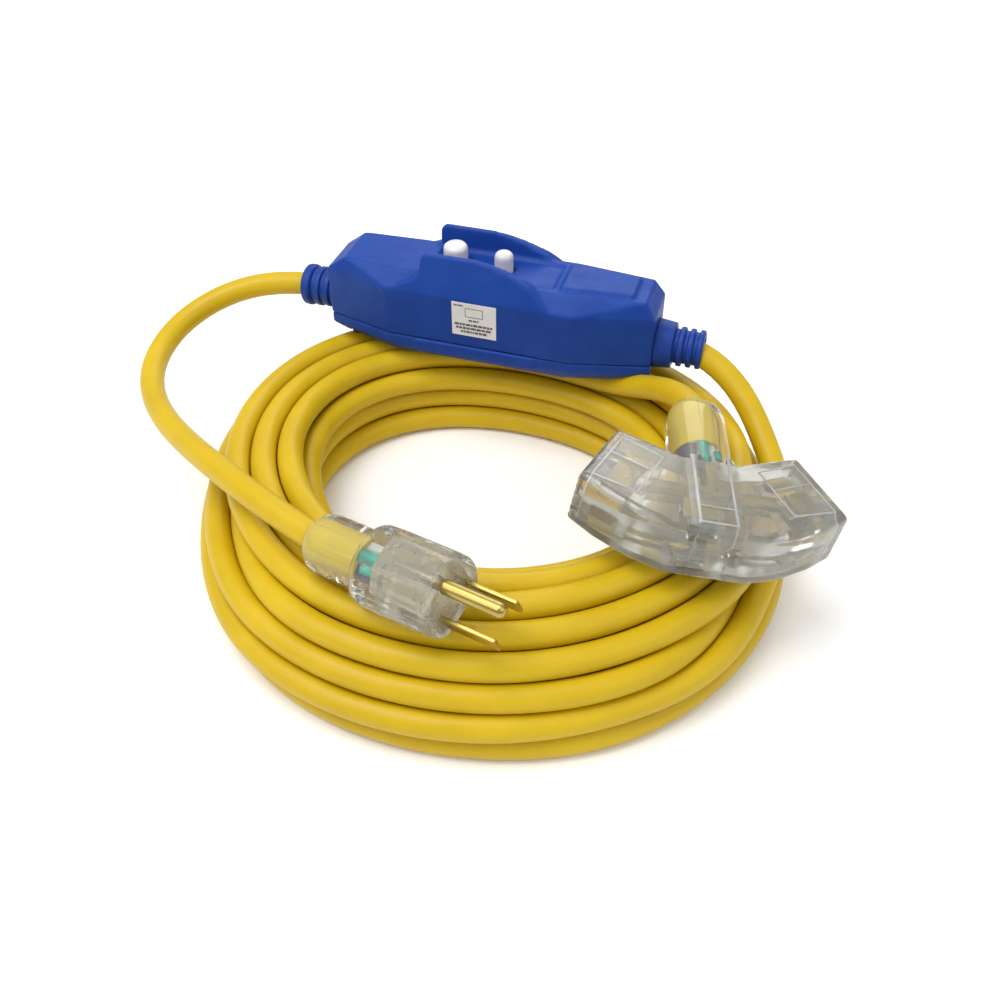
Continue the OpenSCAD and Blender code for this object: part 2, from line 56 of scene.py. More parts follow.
# ---------------------------------------------------------------- camera
cam_data = bpy.data.cameras.new("camera")
cam_data.sensor_width = 36.0
cam_data.lens = 38.52
cam_data.clip_start = 0.01
cam_data.clip_end = 20
cam = bpy.data.objects.new("camera", cam_data)
scene.collection.objects.link(cam)
cam.location = ((7 + OFF[0]) * MM, (-284 + OFF[1]) * MM, 0.277)
cam.rotation_euler = (math.radians(48), 0, 0)
scene.camera = cam
scene.view_settings.view_transform = "Standard"


# ---------------------------------------------------------------- frames of the three fittings
def rz(a):
    c, s = math.cos(a), math.sin(a)
    return np.array([[c, -s, 0], [s, c, 0], [0, 0, 1]])


def ry(a):
    c, s = math.cos(a), math.sin(a)
    return np.array([[c, 0, s], [0, 1, 0], [-s, 0, c]])


def rx(a):
    c, s = math.cos(a), math.sin(a)
    return np.array([[1, 0, 0], [0, c, -s], [0, s, c]])


rad = math.radians
MOD_P, MOD_R = np.array([-0.5, 78.4, 50.0]), rz(rad(-17.4))
PLUG_P, PLUG_R = np.array([-6.2, -75.6, 51.6]), rz(rad(-33.5)) @ ry(rad(-4.5)) @ rx(rad(23))
TAP_P, TAP_R = np.array([70.4, -40.4, 54.0]), rz(rad(-3)) @ ry(rad(9.5))


def world(place, turn, pts):
    """Points of a fitting's own frame, in mm, to the row frame, in metres."""
    return (np.asarray(pts, float) @ turn.T + place + OFF) * MM


# ---------------------------------------------------------------- the cord's routes, in mm round the coil's middle
LINE = [[-66, 99, 50], [-76, 102, 50], [-87.5, 103.4, 49.5], [-97.7, 102.6, 48], [-106.8, 99.6, 45.5], [-116.3, 94.4, 42.5], [-123.6, 87.8, 39.5], [-128.2, 76.9, 37], [-129.8, 65.2, 35.5], [-128.2, 52.2, 35], [-122, 37.7, 35.5], [-114, 23.8, 37.5], [-105, 10.9, 40.5], [-95, -2.5, 44], [-83.2, -16.3, 47], [-70, -30.6, 48.5], [-58, -40, 48], [-50, -46, 47]]
LOAD = [[76, 54.4, 50], [83, 52, 50], [91, 48, 49], [98, 42, 45], [103, 34, 38], [106, 24, 30], [107, 12, 22.5], [106, 0, 17.5], [103.5, -11, 14.5]]
TAP = [[73, 7, 54], [74, 16, 53], [73, 27, 50], [70, 38, 44], [65, 48, 37], [58, 56, 30]]


def resample(P, step):
    s = np.concatenate([[0], np.cumsum(np.linalg.norm(np.diff(P, axis=0), axis=1))])
    t = np.linspace(0, s[-1], max(2, int(round(s[-1] / step)) + 1))
    return np.stack([np.interp(t, s, P[:, k]) for k in range(3)], 1)


def catmull(P, step):
    P = np.array(P, float)
    Q = np.vstack([2 * P[0] - P[1], P, 2 * P[-1] - P[-2]])
    out = []
    for i in range(1, len(Q) - 2):
        a, b, c, d = Q[i - 1 : i + 3]
        for t in np.linspace(0, 1, 24, endpoint=False):
            out.append(0.5 * (2 * b + (c - a) * t + (2 * a - 5 * b + 4 * c - d) * t * t + (3 * b - a - 3 * c + d) * t**3))
    out.append(Q[-2])
    return resample(np.array(out), step)


def smooth(P, n, pin=6):
    w = np.ones(len(P))
    w[:pin] = np.linspace(0, 1, pin)
    w[-pin:] = np.linspace(1, 0, pin)
    for _ in range(n):
        Q = P.copy()
        Q[1:-1] = 0.25 * P[:-2] + 0.5 * P[1:-1] + 0.25 * P[2:]
        P = P + (Q - P) * w[:, None]
    return P


# Places of the strands in the bundle's section, in cord diameters: inward from the outermost strand, and up.
# The turns take these places one after another, so neighbours in the list lie side by side.
FRONT = [(0, 1), (0, 0), (1.2, 0), (3.7, 0), (4.15, .93), (4.5, 1.87), (4.63, 2.85), (3.0, 2.3), (1.55, 1.45), (.44, 1.9), (1.15, 2.61), (1.97, 3.18), (2.84, 3.6), (3.81, 3.42)]
BACK = [(.05, 1), (0, 0), (1.5, 0), (3.8, 0), (3.6, .93), (3.5, 1.87), (2.5, 1.93), (2.45, .95), (1.3, .95), (.5, 1.88), (1.5, 1.9), (1.0, 2.77), (2.0, 2.8), (3.0, 2.72)]
WIDTH = np.array([[-180, .86], [-160, .9], [-135, .95], [-90, 1.0], [-45, .98], [-15, .95], [20, .9], [46, .93], [90, .97], [118, 1.0], [150, .9], [180, .86]], float)
OUTER = [103.2, 2.1, 7.0, 0.5, -3.6, 2.4, 0.7, -1.5, 1.1]


def ease(t):
    t = min(max(t, 0.0), 1.0)
    return t * t * t * (t * (6 * t - 15) + 10)


def coil_design():
    """The wound part, before the strands settle on each other: 13 turns and a bit, clockwise."""
    turns = len(FRONT)
    total = (turns - 1) * 360 + 310
    pts = []
    for a in np.linspace(0, total, int(total / 2.5)):
        t = rad(-6) - rad(a)
        x = (a - 376) / 360.0
        k = math.floor(x + 0.5)
        f = ease(((x - k) * 360 + 38) / 76.0)
        lo, hi = (int(min(max(v, 0), turns - 1)) for v in (k, k + 1))
        wf = ease(0.5 - 0.5 * math.sin(t))
        place = [np.array(FRONT[j]) * wf + np.array(BACK[j]) * (1 - wf) for j in (lo, hi)]
        q = place[0] * (1 - f) + place[1] * f
        u = a / 360.0
        q = q + np.array([0.07 * math.sin(2 * math.pi * 0.73 * u + 1.3) + 0.05 * math.sin(2 * math.pi * 2.31 * u), 0.05 * math.sin(2 * math.pi * 1.37 * u + 0.5) * (q[1] > 0.5)])
        o = OUTER
        r = o[0] + o[1] * math.cos(t) + o[2] * math.sin(t) + o[3] * math.cos(2 * t) + o[4] * math.sin(2 * t) + o[5] * math.cos(3 * t) + o[6] * math.sin(3 * t) + o[7] * math.cos(4 * t) + o[8] * math.sin(4 * t)
        r -= q[0] * D * np.interp((math.degrees(t) + 180) % 360 - 180, WIDTH[:, 0], WIDTH[:, 1])
        pts.append([r * math.cos(t), r * math.sin(t), D / 2 + q[1] * D])
    return np.array(pts)


def push_out(P, a, b, r, w=1.0):
    d = b - a
    t = np.clip(((P - a) @ d) / (d @ d), 0, 1)
    v = P - (a + t[:, None] * d)
    L = np.linalg.norm(v, axis=1)
    m = L < r
    P[m] += w * (v[m] / np.maximum(L[m], 1e-6)[:, None]) * (r - L[m])[:, None]


line_path = catmull(LINE, 4)


def keep_clear(P):
    for a, b in zip(line_path[:-1:2], line_path[2::2]):
        push_out(P, a, b, 9.5)
    push_out(P, PLUG_P + PLUG_R @ np.array([-50, 0, 0.0]), PLUG_P + PLUG_R @ np.array([-8, 0, -0.4]), 17.0, 0.7)
    L = (P - MOD_P) @ MOD_R
    half = np.interp(L[:, 0], [-57, -32, 40, 70], [9, 19.5, 19.5, 8])
    m = (L[:, 0] > -58) & (L[:, 0] < 62) & (np.abs(L[:, 1]) < half) & (L[:, 2] > -17.8) & (L[:, 2] < 0)
    P[m, 2] -= (L[m, 2] + 17.8) * 0.7
    L = (P - TAP_P) @ TAP_R
    m = (np.abs(L[:, 0]) < 42) & (L[:, 1] > -24) & (L[:, 1] < 21) & (L[:, 2] > -14.8) & (L[:, 2] < 0)
    P[m] -= ((L[m, 2] + 14.8) * 0.7)[:, None] * TAP_R[:, 2]


def settle(P, fixed, rounds, step=4.0, gap=9.42):
    """Moves the strands apart until none lies in another, while each stays smooth and keeps its length."""
    T, n = P.copy(), len(P)
    idx = np.arange(n)
    I = J = None
    for it in range(rounds):
        if it % 6 == 0:
            Pf = P.astype(np.float32)
            sq = (Pf**2).sum(1)
            I, J = np.nonzero(sq[:, None] + sq[None, :] - 2 * Pf @ Pf.T < (gap + 3.5) ** 2)
            m = J - I > 4
            I, J = I[m], J[m]
        for _ in range(4):
            lap = np.zeros_like(P)
            lap[2:-2] = (-P[:-4] + 4 * P[1:-3] - 6 * P[2:-2] + 4 * P[3:-1] - P[4:]) / 16.0
            P = P + lap
        P = P + 0.03 * (1 - it / rounds * 0.85) * (T - P)
        for _ in range(2):
            d = P[J] - P[I]
            L = np.linalg.norm(d, axis=1)
            m = L < gap
            if m.any():
                v = d[m] * ((gap - L[m]) / np.maximum(L[m], 1e-6) * 0.5)[:, None]
                acc = np.zeros_like(P)
                for k in range(3):
                    acc[:, k] = np.bincount(J[m], v[:, k], n) - np.bincount(I[m], v[:, k], n)
                cnt = np.bincount(I[m], minlength=n) + np.bincount(J[m], minlength=n)
                P = P + acc / np.maximum(cnt, 1)[:, None] * 1.15
        for _ in range(2):
            for s0 in (0, 1):
                a = idx[s0:-1:2]
                d = P[a + 1] - P[a]
                L = np.linalg.norm(d, axis=1)
                v = d * ((L - step) / np.maximum(L, 1e-6) * 0.3)[:, None]
                P[a] += v
                P[a + 1] -= v
        keep_clear(P)
        P[:, 2] = np.maximum(P[:, 2], D / 2)
        P[fixed] = T[fixed]
    return P


wound = coil_design()
load_path = np.vstack([catmull(LOAD, 4)[:-3], wound[8:-10], catmull(TAP[::-1], 4)[2:]])
load_path = resample(smooth(resample(load_path, 4.0), 60, 14), 4.0)
pinned = np.zeros(len(load_path), bool)
pinned[:14] = pinned[-10:] = True
load_path = settle(load_path, pinned, 260)
load_path = resample(smooth(load_path, 14), 4.0)
load_path[:, 2] = np.maximum(load_path[:, 2], D / 2 + 0.02)


# ---------------------------------------------------------------- materials
def new_mat(name):
    m = bpy.data.materials.new(name)
    m.use_nodes = True
    nt = m.node_tree
    return m, nt, nt.nodes["Principled BSDF"]


def node(nt, kind, **values):
    n = nt.nodes.new(kind)
    for k, v in values.items():
        if hasattr(n, k):
            setattr(n, k, v)
        else:
            n.inputs[k.replace("_", " ")].default_value = v
    return n


def surface(name, dark, light, rough=(0.4, 0.5), scale=120.0, detail=5.0, bump=0.15, bump_scale=900.0, dist=0.0001, metallic=0.0, coat=0.0, coat_rough=0.2, spec=0.5, stretch=(1, 1, 1), **more):
    """Moulded, drawn or painted surface: its colour, gloss and fine relief all vary over the piece."""
    m, nt, b = new_mat(name)
    co = node(nt, "ShaderNodeTexCoord")
    mp = node(nt, "ShaderNodeMapping")
    mp.inputs["Scale"].default_value = stretch
    nt.links.new(co.outputs["Object"], mp.inputs["Vector"])
    n1 = node(nt, "ShaderNodeTexNoise", Scale=scale, Detail=detail, Roughness=0.6)
    nt.links.new(mp.outputs[0], n1.inputs["Vector"])
    ramp = node(nt, "ShaderNodeValToRGB")
    ramp.color_ramp.elements[0].position = 0.32
    ramp.color_ramp.elements[1].position = 0.68
    ramp.color_ramp.elements[0].color = (*dark, 1)
    ramp.color_ramp.elements[1].color = (*light, 1)
    nt.links.new(n1.outputs["Fac"], ramp.inputs["Fac"])
    nt.links.new(ramp.outputs[0], b.inputs["Base Color"])
    n2 = node(nt, "ShaderNodeTexNoise", Scale=scale * 2.7, Detail=3.0, Roughness=0.55)
    nt.links.new(mp.outputs[0], n2.inputs["Vector"])
    mr = node(nt, "ShaderNodeMapRange")
    mr.inputs["From Min"].default_value = 0.3
    mr.inputs["From Max"].default_value = 0.7
    mr.inputs["To Min"].default_value = rough[0]
    mr.inputs["To Max"].default_value = rough[1]
    nt.links.new(n2.outputs["Fac"], mr.inputs["Value"])
    nt.links.new(mr.outputs[0], b.inputs["Roughness"])
    n3 = node(nt, "ShaderNodeTexNoise", Scale=bump_scale, Detail=4.0, Roughness=0.6)
    nt.links.new(mp.outputs[0], n3.inputs["Vector"])
    bp = node(nt, "ShaderNodeBump")
    bp.inputs["Strength"].default_value = bump
    bp.inputs["Distance"].default_value = dist
    nt.links.new(n3.outputs["Fac"], bp.inputs["Height"])
    nt.links.new(bp.outputs[0], b.inputs["Normal"])
    b.inputs["Metallic"].default_value = metallic
    b.inputs["Coat Weight"].default_value = coat
    b.inputs["Coat Roughness"].default_value = coat_rough
    b.inputs["Specular IOR Level"].default_value = spec
    for k, v in more.items():
        b.inputs[k.replace("_", " ")].default_value = v
    return m


def clear(name, tint, rough, trans, ior=1.5, cloud=60.0, bump=0.12, haze=0.06):
    """Clear moulded PVC: flow marks in its gloss, and a little cloudiness in its colour."""
    m = surface(name, tuple(c * 0.93 for c in tint), tint, rough, scale=cloud, bump=bump, bump_scale=cloud * 2.2, dist=0.0004, spec=0.5)
    b = m.node_tree.nodes["Principled BSDF"]
    b.inputs["Transmission Weight"].default_value = trans
    b.inputs["IOR"].default_value = ior
    return m


def cord_material():
    m, nt, b = new_mat("yellow_jacket")
    uv = node(nt, "ShaderNodeUVMap", uv_map="along")
    obj = node(nt, "ShaderNodeTexCoord")
    # broad change of tone, and the scuffs that handling leaves
    n1 = node(nt, "ShaderNodeTexNoise", Scale=26.0, Detail=4.0, Roughness=0.6)
    nt.links.new(obj.outputs["Object"], n1.inputs["Vector"])
    ramp = node(nt, "ShaderNodeValToRGB")
    ramp.color_ramp.elements[0].position = 0.3
    ramp.color_ramp.elements[1].position = 0.7
    ramp.color_ramp.elements[0].color = (0.512, 0.334, 0.003, 1)
    ramp.color_ramp.elements[1].color = (0.600, 0.410, 0.006, 1)
    nt.links.new(n1.outputs["Fac"], ramp.inputs["Fac"])
    n2 = node(nt, "ShaderNodeTexNoise", Scale=310.0, Detail=6.0, Roughness=0.7)
    nt.links.new(obj.outputs["Object"], n2.inputs["Vector"])
    r2 = node(nt, "ShaderNodeValToRGB")
    r2.color_ramp.elements[0].position = 0.60
    r2.color_ramp.elements[1].position = 0.80
    nt.links.new(n2.outputs["Fac"], r2.inputs["Fac"])
    mix = node(nt, "ShaderNodeMix", data_type="RGBA")
    mix.inputs["Factor"].default_value = 0.0
    sc = node(nt, "ShaderNodeMath", operation="MULTIPLY")
    sc.inputs[1].default_value = 0.16
    nt.links.new(r2.outputs[0], sc.inputs[0])
    nt.links.new(sc.outputs[0], mix.inputs["Factor"])
    nt.links.new(ramp.outputs[0], mix.inputs[6])
    mix.inputs[7].default_value = (0.52, 0.33, 0.01, 1)
    nt.links.new(mix.outputs[2], b.inputs["Base Color"])
    mr = node(nt, "ShaderNodeMapRange")
    mr.inputs["From Min"].default_value = 0.3
    mr.inputs["From Max"].default_value = 0.7
    mr.inputs["To Min"].default_value = 0.36
    mr.inputs["To Max"].default_value = 0.50
    nt.links.new(n1.outputs["Fac"], mr.inputs["Value"])
    nt.links.new(mr.outputs[0], b.inputs["Roughness"])
    # the three conductors show faintly as a slow twist, over the grain of the extruded jacket
    sep = node(nt, "ShaderNodeSeparateXYZ")
    nt.links.new(uv.outputs[0], sep.inputs[0])
    tw = node(nt, "ShaderNodeMath", operation="MULTIPLY_ADD")
    tw.inputs[1].default_value = 2 * math.pi / 0.085 * 1.0
    nt.links.new(sep.outputs["X"], tw.inputs[0])
    ar = node(nt, "ShaderNodeMath", operation="MULTIPLY")
    ar.inputs[1].default_value = 2 * math.pi
    nt.links.new(sep.outputs["Y"], ar.inputs[0])
    nt.links.new(ar.outputs[0], tw.inputs[2])
    t3 = node(nt, "ShaderNodeMath", operation="MULTIPLY")
    t3.inputs[1].default_value = 3.0
    nt.links.new(tw.outputs[0], t3.inputs[0])
    sn = node(nt, "ShaderNodeMath", operation="SINE")
    nt.links.new(t3.outputs[0], sn.inputs[0])
    b1 = node(nt, "ShaderNodeBump")
    b1.inputs["Strength"].default_value = 0.35
    b1.inputs["Distance"].default_value = 0.00010
    nt.links.new(sn.outputs[0], b1.inputs["Height"])
    n3 = node(nt, "ShaderNodeTexNoise", Scale=1400.0, Detail=4.0, Roughness=0.6)
    nt.links.new(obj.outputs["Object"], n3.inputs["Vector"])
    b2 = node(nt, "ShaderNodeBump")
    b2.inputs["Strength"].default_value = 0.12
    b2.inputs["Distance"].default_value = 0.00006
    nt.links.new(n3.outputs["Fac"], b2.inputs["Height"])
    nt.links.new(b1.outputs[0], b2.inputs["Normal"])
    nt.links.new(b2.outputs[0], b.inputs["Normal"])
    b.inputs["Specular IOR Level"].default_value = 0.30
    return m


M = {}
M["cord"] = cord_material()
M["blue"] = surface("blue_shell", (0.006, 0.040, 0.255), (0.010, 0.054, 0.30), (0.42, 0.52), scale=70, bump=0.4, bump_scale=2600, dist=0.00006, spec=0.17)
M["blue_dark"] = surface("blue_relief", (0.006, 0.036, 0.235), (0.009, 0.048, 0.28), (0.40, 0.50), scale=90, bump=0.3, bump_scale=2400, dist=0.00005, spec=0.22)
M["clear"] = clear("clear_pvc", (0.965, 0.97, 0.945), (0.04, 0.12), 0.925, ior=1.40, cloud=45, bump=0.08)
M["frame"] = clear("clear_frame", (0.93, 0.93, 0.89), (0.10, 0.2), 0.84, ior=1.16, cloud=120, bump=0.08)
# painted highlight: pale milky material for the bars along the tap carrier's edges, standing in for the light those
# edges catch
M["rib"] = clear("painted_highlight_milky", (0.88, 0.89, 0.86), (0.15, 0.25), 0.30, ior=1.3, cloud=140, bump=0.05)
M["print"] = surface("label_print", (0.05, 0.05, 0.055), (0.12, 0.12, 0.13), (0.5, 0.6), scale=900)
M["paper"] = surface("label_white", (0.64, 0.64, 0.66), (0.70, 0.70, 0.72), (0.35, 0.45), scale=160, coat=0.15)
M["bridge"] = clear("milky_bridge", (0.90, 0.88, 0.78), (0.24, 0.32), 0.76, ior=1.10, cloud=60, bump=0.03)
M["brass"] = surface("brass", (0.36, 0.265, 0.065), (0.50, 0.385, 0.115), (0.24, 0.36), scale=160, bump=0.25, bump_scale=1200, dist=0.00004, metallic=1.0, stretch=(0.25, 0.25, 1))
M["button"] = surface("button_grey", (0.60, 0.58, 0.60), (0.74, 0.72, 0.73), (0.28, 0.40), scale=200, bump=0.15, bump_scale=1800, dist=0.00004, coat=0.25)
M["black"] = surface("wire_black", (0.07, 0.07, 0.07), (0.11, 0.11, 0.11), (0.35, 0.5), scale=200)
M["white"] = surface("wire_white", (0.66, 0.66, 0.63), (0.78, 0.78, 0.76), (0.35, 0.5), scale=200)
M["green"] = surface("wire_green", (0.0, 0.33, 0.24), (0.0, 0.47, 0.34), (0.3, 0.45), scale=200)
M["end"] = surface("jacket_end", (0.68, 0.50, 0.003), (0.76, 0.57, 0.005), (0.4, 0.5), scale=60, spec=0.2)
M["lamp"] = surface("lamp_green", (0.0, 0.36, 0.25), (0.005, 0.52, 0.37), (0.2, 0.3), scale=300)
M["steel"] = surface("spring_steel", (0.42, 0.42, 0.43), (0.62, 0.62, 0.64), (0.2, 0.35), scale=300, metallic=1.0)
M["lens"] = surface("lens_dark", (0.01, 0.012, 0.05), (0.05, 0.02, 0.06), (0.15, 0.25), scale=400, coat=0.6)
M["screw"] = surface("screw_dark", (0.03, 0.03, 0.035), (0.07, 0.07, 0.075), (0.3, 0.45), scale=400, metallic=0.8)
M["seal"] = surface("seal_black", (0.01, 0.01, 0.01), (0.03, 0.03, 0.03), (0.6, 0.8), scale=200)
M["ivory"] = surface("inner_ivory", (0.62, 0.60, 0.50), (0.72, 0.70, 0.60), (0.4, 0.5))
M["board"] = surface("board_green", (0.01, 0.12, 0.04), (0.02, 0.2, 0.07), (0.3, 0.4))
M["brown"] = surface("core_brown", (0.16, 0.07, 0.03), (0.26, 0.12, 0.05), (0.4, 0.6))
M["copper"] = surface("core_copper", (0.4, 0.17, 0.07), (0.55, 0.25, 0.11), (0.3, 0.4), metallic=0.6)
M["discblue"] = surface("disc_blue", (0.02, 0.1, 0.35), (0.04, 0.15, 0.42), (0.2, 0.3), coat=0.4)
M["tan"] = surface("resistor_tan", (0.45, 0.36, 0.2), (0.58, 0.48, 0.3), (0.25, 0.35))
MAT = {
    "module_base": "blue", "module_cover": "blue", "module_gasket": "seal", "line_strain_relief": "blue_dark", "load_strain_relief": "blue_dark",
    "rating_label": "paper", "reset_button": "button", "test_button": "button", "reset_spring": "steel", "test_spring": "steel", "status_lens": "lens",
    "button_deck": "ivory", "circuit_board": "board", "sense_transformer": "brown", "neutral_transformer": "copper", "trip_solenoid": "copper",
    "solenoid_plunger": "steel", "contact_carriage": "black", "fixed_contacts": "brass", "surge_disc": "discblue", "filter_capacitor": "black",
    "test_resistor": "tan", "module_line_wires": "black", "module_load_wires": "black", "cover_screws": "screw",
    "plug_body": "clear", "plug_bridge": "bridge", "plug_jacket_end": "end", "hot_blade": "brass", "neutral_blade": "brass", "ground_pin": "brass",
    "plug_ground_wire": "green", "plug_hot_wire": "black", "plug_neutral_wire": "white", "plug_lamp": "lamp",
    "tap_body": "clear", "tap_collar": "clear", "tap_frame": "frame", "tap_jacket_end": "end", "tap_hot_bus": "brass", "tap_neutral_bus": "brass", "tap_ground_bus": "brass",
    "tap_ground_wire": "green", "tap_hot_wire": "black", "tap_neutral_wire": "white", "tap_lamp": "lamp",
    "line_cord": "cord", "load_cord_lead": "cord", "cord_coil": "cord", "tap_lead": "cord",
}
for name, o in NODES.items():
    o.data.materials.clear()
    o.data.materials.append(M[MAT[name]])


# ---------------------------------------------------------------- finer edges on the CAD pieces
def refine(name, width, segs=3, grow=0.0, angle=28):
    o = NODES[name]
    w = o.modifiers.new("weld", "WELD")
    w.merge_threshold = 2e-6
    d = o.modifiers.new("flat", "DECIMATE")
    d.decimate_type = "DISSOLVE"
    d.angle_limit = rad(1.0)
    if width > 0:
        b = o.modifiers.new("edge", "BEVEL")
        b.width = width * MM
        b.segments = segs
        b.limit_method = "ANGLE"
        b.angle_limit = rad(angle)
        b.use_clamp_overlap = True
        b.harden_normals = False
    t = o.modifiers.new("tri", "TRIANGULATE")
    t.quad_method = "BEAUTY"
    if grow:
        g = o.modifiers.new("grow", "DISPLACE")
        g.strength = grow * MM
        g.mid_level = 0.0
        g.direction = "NORMAL"
    n = o.modifiers.new("normals", "WEIGHTED_NORMAL")
    n.keep_sharp = False
    n.weight = 60
    o.data.polygons.foreach_set("use_smooth", [True] * len(o.data.polygons))
    return o




def mould(name, voxel, rounds):
    """Rounds every edge of a moulded shell, as its mould leaves them."""
    o = NODES[name]
    r = o.modifiers.new("remesh", "REMESH")
    r.mode = "VOXEL"
    r.voxel_size = voxel * MM * 1.0
    r.adaptivity = 0.0
    r.use_smooth_shade = True
    k = o.modifiers.new("soften", "SMOOTH")
    k.factor = 0.5
    k.iterations = max(2, rounds // (1))
    return o


mould("module_cover", 0.62, 6)
mould("module_base", 0.6, 5)
for n in ("line_strain_relief", "load_strain_relief"):
    refine(n, 0.35, 2)
for n in ("reset_button", "test_button"):
    refine(n, 0.25, 2)
refine("tap_frame", 0.5, 2)
refine("plug_bridge", 0.5, 2)
for n in ("hot_blade", "neutral_blade", "ground_pin"):
    refine(n, 0.18, 2)
for n in ("tap_hot_bus", "tap_neutral_bus", "tap_ground_bus"):
    refine(n, 0.1, 1)
for n in ("plug_jacket_end", "tap_jacket_end"):
    refine(n, 0, grow=0.04)
for n in ("plug_ground_wire", "plug_hot_wire", "plug_neutral_wire", "plug_lamp", "tap_ground_wire", "tap_hot_wire", "tap_neutral_wire", "tap_lamp"):
    refine(n, 0, grow=0.05)


# ---------------------------------------------------------------- mesh helpers
def add_mesh(name, verts, faces, mat, body="root", smooth_shade=True):
    me = bpy.data.meshes.new(name)
    me.from_pydata([tuple(map(float, v)) for v in verts], [], [tuple(f) for f in faces])
    me.validate()
    me.materials.append(mat)
    if smooth_shade:
        me.polygons.foreach_set("use_smooth", [True] * len(me.polygons))
    o = bpy.data.objects.new(name, me)
    scene.collection.objects.link(o)
    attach(o, body)
    return o


def tube(name, P, r, sides, mat, swell=None):
    """A jacket swept along P, in metres, with its length and its turn kept in a UV layer for the material."""
    n = len(P)
    T = np.gradient(P, axis=0)
    T /= np.linalg.norm(T, axis=1)[:, None]
    A = np.zeros_like(P)
    a = np.cross([0, 0, 1.0], T[0])
    a /= np.linalg.norm(a)
    for i in range(n):
        a = a - T[i] * (a @ T[i])
        a /= np.linalg.norm(a)
        A[i] = a
    B = np.cross(T, A)
    s = np.concatenate([[0], np.cumsum(np.linalg.norm(np.diff(P, axis=0), axis=1))])
    ang = np.linspace(0, 2 * math.pi, sides, endpoint=False)
    rr = np.full(n, r) if swell is None else swell
    V = P[:, None, :] + rr[:, None, None] * (A[:, None, :] * np.cos(ang)[None, :, None] + B[:, None, :] * np.sin(ang)[None, :, None])
    V = V.reshape(-1, 3)
    F = [(i * sides + k, i * sides + (k + 1) % sides, (i + 1) * sides + (k + 1) % sides, (i + 1) * sides + k) for i in range(n - 1) for k in range(sides)]
    F.append(tuple(range(sides - 1, -1, -1)))
    F.append(tuple((n - 1) * sides + k for k in range(sides)))
    o = add_mesh(name, V, F, mat)
    uv = o.data.uv_layers.new(name="along")
    data = np.zeros((len(o.data.loops), 2), np.float32)
    vi = np.zeros(len(o.data.loops), np.int32)
    o.data.loops.foreach_get("vertex_index", vi)
    ring, side = vi // sides, vi % sides
    data[:, 0] = s[ring]
    data[:, 1] = side / sides
    # the last face of each ring runs to 1 and not back to 0
    for p in o.data.polygons:
        if p.loop_total == 4:
            ks = side[p.loop_start : p.loop_start + 4]
            if ks.max() - ks.min() > 2:
                for j in range(4):
                    if ks[j] == 0:
                        data[p.loop_start + j, 1] = 1.0
    uv.data.foreach_set("uv", data.ravel())
    return o


# ---------------------------------------------------------------- the clear mouldings
def ring_faces(n, sides):
    F = [(i * sides + k, i * sides + (k + 1) % sides, (i + 1) * sides + (k + 1) % sides, (i + 1) * sides + k) for i in range(n - 1) for k in range(sides)]
    F.append(tuple(range(sides - 1, -1, -1)))
    F.append(tuple((n - 1) * sides + k for k in range(sides)))
    return F


def plug_shell():
    """Round neck with moulded grip steps, D-shaped head with fine ribs along both flanks."""
    sides = 144
    phi = np.linspace(0, 2 * math.pi, sides, endpoint=False)

    def d_head(r, flat):
        # distance from the axis to the round part, whose middle is 0.4 below the axis, and to the flat
        rc = -0.4 * np.sin(phi) + np.sqrt(np.maximum(r * r - (0.4 * np.cos(phi)) ** 2, 0))
        rf = np.where(np.sin(phi) < -0.05, -flat / np.minimum(np.sin(phi), -0.05), 1e3)
        return (rc**-16.0 + rf**-16.0) ** (-1 / 16.0)

    us, rad_list = [], []

    def station(u, r):
        us.append(u)
        rad_list.append(r)

    deg = np.degrees(phi)
    flank = np.clip(1 - np.abs(((deg - 15 + 180) % 360) - 180) / 36, 0, 1) + np.clip(1 - np.abs(((deg - 165 + 180) % 360) - 180) / 36, 0, 1)
    flank = np.clip(flank * 3, 0, 1)
    rib = 0.42 * flank * (np.cos(phi * 28) - 0.6)
    neck = [(-52, 5.9), (-51.9, 6.6), (-51.5, 7.3), (-50.6, 8.2), (-49.6, 8.9), (-48.6, 9.3), (-47, 9.55)]
    for u, r in neck:
        station(u, np.full(sides, r))
    # grip steps, cut in the lower half only
    low = np.clip(-np.sin(phi) * 1.6 + 0.75, 0, 1)
    for a in (-46.2, -41.2, -36.2):
        for u, dep in ((a, 0.0), (a + 0.35, 0.5), (a + 0.7, 0.85), (a + 2.0, 0.85), (a + 2.35, 0.5), (a + 2.7, 0.0)):
            station(u, 9.6 - dep * low)
    for u in (-32.6, -31.0, -30.2):
        station(u, np.full(sides, 9.6))
    base = d_head(12.8, -10.2)
    for u, f in ((-29.8, 0.0), (-29.55, 0.35), (-29.35, 0.72), (-29.0, 0.90), (-28.5, 0.975), (-27.6, 1.0)):
        station(u, 9.65 * (1 - f) + base * f)
    for u in np.linspace(-27.0, -2.4, 14):
        e = min(1.0, (u + 27.0) / 1.5, (-2.0 - u) / 1.5)
        station(float(u), base + rib * max(0.0, e))
    for u, f in ((-1.6, 1.0), (-0.9, 0.985), (-0.4, 0.96), (-0.1, 0.925), (0.0, 0.89)):
        station(u, base * f)
    V = []
    for u, r in zip(us, rad_list):
        V += [(u, r[k] * math.cos(phi[k]), r[k] * math.sin(phi[k])) for k in range(sides)]
    o = add_mesh("plug_moulding", world(PLUG_P, PLUG_R, V), ring_faces(len(us), sides), M["clear"])
    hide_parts("plug_body")
    return o


def outlet(i, p):
    p = np.asarray(p, float)
    if i == 0:
        return p @ rz(rad(-90)).T + np.array([0, -21.5, 0])
    q = p @ rz(rad(26.5)).T + np.array([35.6, 8.65, 0])
    return q * np.array([-1, 1, 1]) if i == 2 else q


